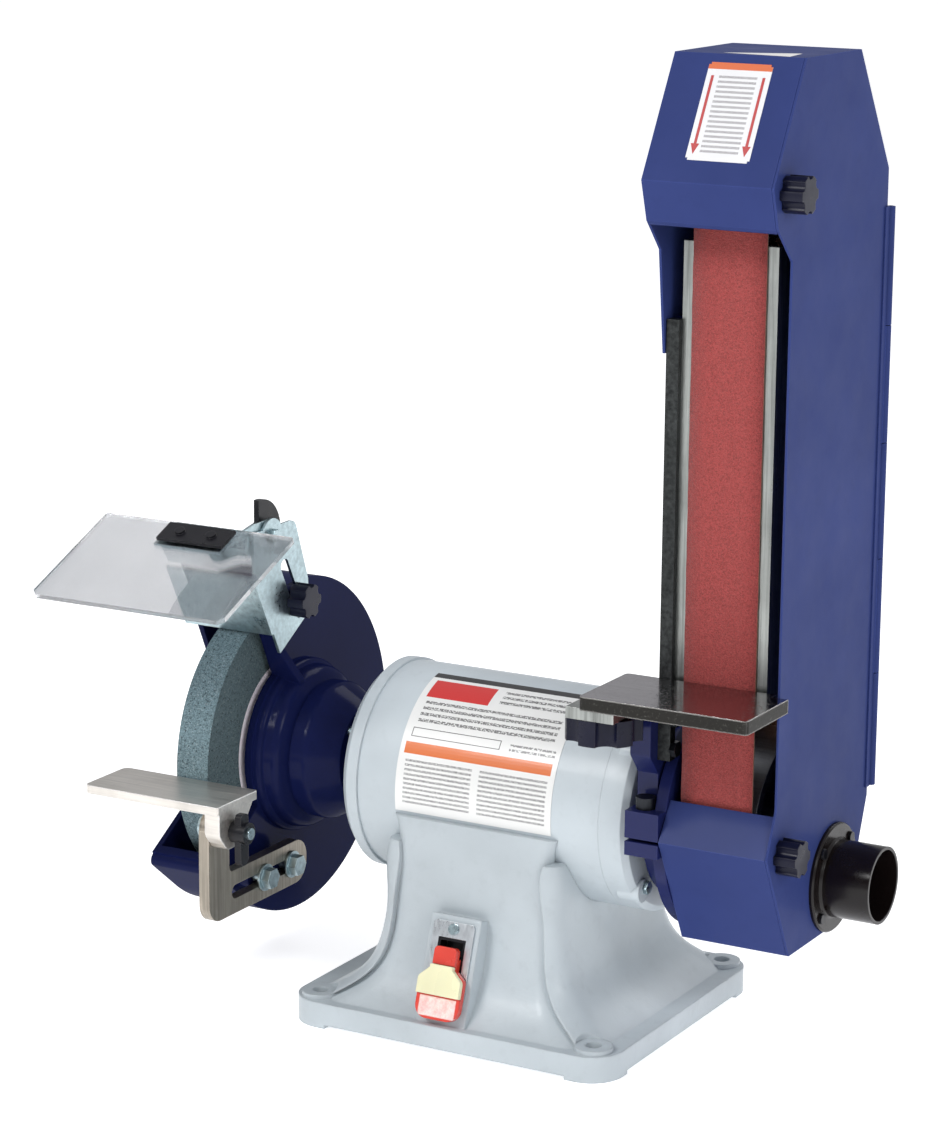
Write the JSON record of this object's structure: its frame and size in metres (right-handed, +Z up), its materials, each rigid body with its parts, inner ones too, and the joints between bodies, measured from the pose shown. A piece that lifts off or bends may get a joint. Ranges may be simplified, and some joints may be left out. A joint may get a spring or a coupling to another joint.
{
  "type": "belt grinder",
  "caption": "Bench grinder with a guarded grinding wheel at one end of the spindle and an upright tilting abrasive-belt arm, with hood, platen and table, at the other.",
  "frame": {"origin": "centre of the four bench bolt holes, on the pedestal's underside", "axes": "+X along the spindle from the grinding wheel to the belt, +Y to the back of the machine, +Z up"},
  "size_m": [0.539, 0.3003, 0.6663],
  "materials": {
    "hood_blue": "semi-gloss paint",
    "guard_navy": "gloss paint over cast iron",
    "motor_grey": "gloss paint",
    "arm_navy": "gloss paint over cast iron",
    "zinc": "zinc plated",
    "bracket_steel": "rolled and brushed",
    "black_steel": "black oxide",
    "shaft_steel": "machined",
    "machined_steel": "milled and brushed",
    "stone": "coarse vitrified grit",
    "paper": "blotting paper",
    "abrasive": "grit on cloth",
    "wheel_alloy": "cast and turned",
    "stator_steel": "laminated steel and varnished wire",
    "black_plastic": "moulded",
    "switch_red": "moulded",
    "key_cream": "moulded",
    "clear_pane": "clear moulded sheet"
  },
  "bodies": {
    "stand": {"motor_shell": "motor_grey", "left_end_bell": "motor_grey", "right_end_bell": "motor_grey", "motor_tie_bolts": "zinc", "stator_core_and_windings": "stator_steel", "bearing_outer_rings": "shaft_steel", "pedestal": "motor_grey", "bottom_cover": "zinc", "cable_gland": "black_plastic", "start_capacitor_and_clip": "black_plastic", "switch_plate": "zinc", "pedestal_screws": "zinc", "switch_body": "black_plastic", "guard_casting": "guard_navy", "guard_cover": "guard_navy", "guard_fasteners": "zinc"},
    "spindle": {"spindle_shaft": "shaft_steel", "rotor_core": "stator_steel", "grinding_wheel": "stone", "wheel_blotters": "paper", "wheel_flanges": "shaft_steel", "spindle_nuts": "zinc", "drive_wheel": "wheel_alloy", "bearing_inner_rings_and_balls": "shaft_steel"},
    "switch_paddle": {"switch_paddle": "switch_red"},
    "safety_key": {"safety_key": "key_cream"},
    "rest_bracket": {"rest_bracket": "bracket_steel"},
    "tool_rest": {"tool_rest": "machined_steel", "rest_bolt": "zinc"},
    "rest_wing_nut": {"rest_wing_nut": "black_steel"},
    "spark_arrestor": {"spark_arrestor": "zinc", "shield_pivot_bolt": "zinc"},
    "arrestor_knob": {"arrestor_knob": "black_plastic"},
    "eye_shield": {"shield_bracket": "zinc", "shield_pane": "clear_pane", "shield_clamp_plate": "black_plastic"},
    "shield_wing_nut": {"shield_wing_nut": "black_plastic"},
    "belt_arm": {"arm_casting": "arm_navy", "arm_bar": "zinc", "arm_fasteners": "zinc", "platen": "shaft_steel", "tension_guide": "arm_navy", "tension_spring": "shaft_steel", "abrasive_belt": "abrasive", "hood_upper": "hood_blue", "back_panel": "hood_blue", "lower_guard": "hood_blue", "hood_hinge_leaf_and_pin": "zinc", "table_bracket": "shaft_steel"},
    "idler_yoke": {"idler_yoke_and_axle": "shaft_steel"},
    "idler_wheel": {"idler_wheel": "wheel_alloy"},
    "tracking_knob": {"tracking_knob": "black_plastic"},
    "side_door": {"side_door": "hood_blue", "dust_port": "black_plastic", "door_fasteners": "black_steel", "door_hinge_leaf": "zinc"},
    "upper_door_knob": {"upper_door_knob": "black_plastic"},
    "lower_door_knob": {"lower_door_knob": "black_plastic"},
    "work_table": {"work_table_and_stud": "machined_steel"},
    "table_knob": {"table_knob": "black_plastic"}
  },
  "joints": [
    {"name": "spindle_spin", "type": "hinge", "parent": "stand", "child": "spindle", "pos_m": [0, 0, 0.1605], "axis": [1, 0, 0], "continuous": true},
    {"name": "switch_rock", "type": "hinge", "parent": "stand", "child": "switch_paddle", "pos_m": [-0.005, -0.0965, 0.057], "axis": [-1, 0, 0], "range_deg": [0, 12]},
    {"name": "key_pull", "type": "slide", "parent": "switch_paddle", "child": "safety_key", "axis": [0, -0.9511, 0.309], "range_m": [0, 0.012]},
    {"name": "rest_slide", "type": "slide", "parent": "stand", "child": "rest_bracket", "axis": [0, 1, 0], "range_m": [-0.005, 0.0012]},
    {"name": "rest_tilt", "type": "hinge", "parent": "rest_bracket", "child": "tool_rest", "pos_m": [-0.168, -0.1335, 0.136], "axis": [1, 0, 0], "range_deg": [0, 30]},
    {"name": "rest_nut_turn", "type": "hinge", "parent": "tool_rest", "child": "rest_wing_nut", "pos_m": [-0.146, -0.1335, 0.136], "axis": [1, 0, 0], "continuous": true},
    {"name": "arrestor_slide", "type": "slide", "parent": "stand", "child": "spark_arrestor", "axis": [0, -0.4695, 0.8829], "range_m": [-0.001, 0.01]},
    {"name": "arrestor_knob_turn", "type": "hinge", "parent": "stand", "child": "arrestor_knob", "pos_m": [-0.166, -0.02021, 0.27094], "axis": [1, 0, 0], "continuous": true},
    {"name": "shield_tilt", "type": "hinge", "parent": "spark_arrestor", "child": "eye_shield", "pos_m": [-0.177, -0.05, 0.321], "axis": [-1, 0, 0], "range_deg": [-30, 70]},
    {"name": "shield_nut_turn", "type": "hinge", "parent": "spark_arrestor", "child": "shield_wing_nut", "pos_m": [-0.171, -0.05, 0.321], "axis": [1, 0, 0], "continuous": true},
    {"name": "arm_tilt", "type": "hinge", "parent": "stand", "child": "belt_arm", "pos_m": [0.13, 0, 0.1605], "axis": [-1, 0, 0], "range_deg": [0, 90]},
    {"name": "tension_slide", "type": "slide", "parent": "belt_arm", "child": "idler_yoke", "axis": [0, 0, 1], "range_m": [-0.012, 0], "stiffness_N_per_m": 3000, "springref_m": 0.02, "deforming": ["tension_spring"]},
    {"name": "idler_spin", "type": "hinge", "parent": "idler_yoke", "child": "idler_wheel", "pos_m": [0.1734, -0.0254, 0.609], "axis": [1, 0, 0], "continuous": true},
    {"name": "tracking_knob_turn", "type": "hinge", "parent": "belt_arm", "child": "tracking_knob", "pos_m": [0.1977, -0.0254, 0.501], "axis": [1, 0, 0], "continuous": true},
    {"name": "door_swing", "type": "hinge", "parent": "belt_arm", "child": "side_door", "pos_m": [0.2194, 0.081, 0.3665], "axis": [0, 0, 1], "range_deg": [0, 110]},
    {"name": "upper_knob_turn", "type": "hinge", "parent": "side_door", "child": "upper_door_knob", "pos_m": [0.227, -0.083, 0.586], "axis": [1, 0, 0], "continuous": true},
    {"name": "lower_knob_turn", "type": "hinge", "parent": "side_door", "child": "lower_door_knob", "pos_m": [0.227, -0.0635, 0.16], "axis": [1, 0, 0], "continuous": true},
    {"name": "table_slide", "type": "slide", "parent": "belt_arm", "child": "work_table", "axis": [0, -1, 0], "range_m": [0, 0.015]},
    {"name": "table_knob_turn", "type": "hinge", "parent": "work_table", "child": "table_knob", "pos_m": [0.112, -0.105, 0.241], "axis": [0, 0, 1], "continuous": true}
  ],
  "couplings": [
    {"joint": "idler_spin", "follows": "spindle_spin", "ratio": 1.6667}
  ]
}
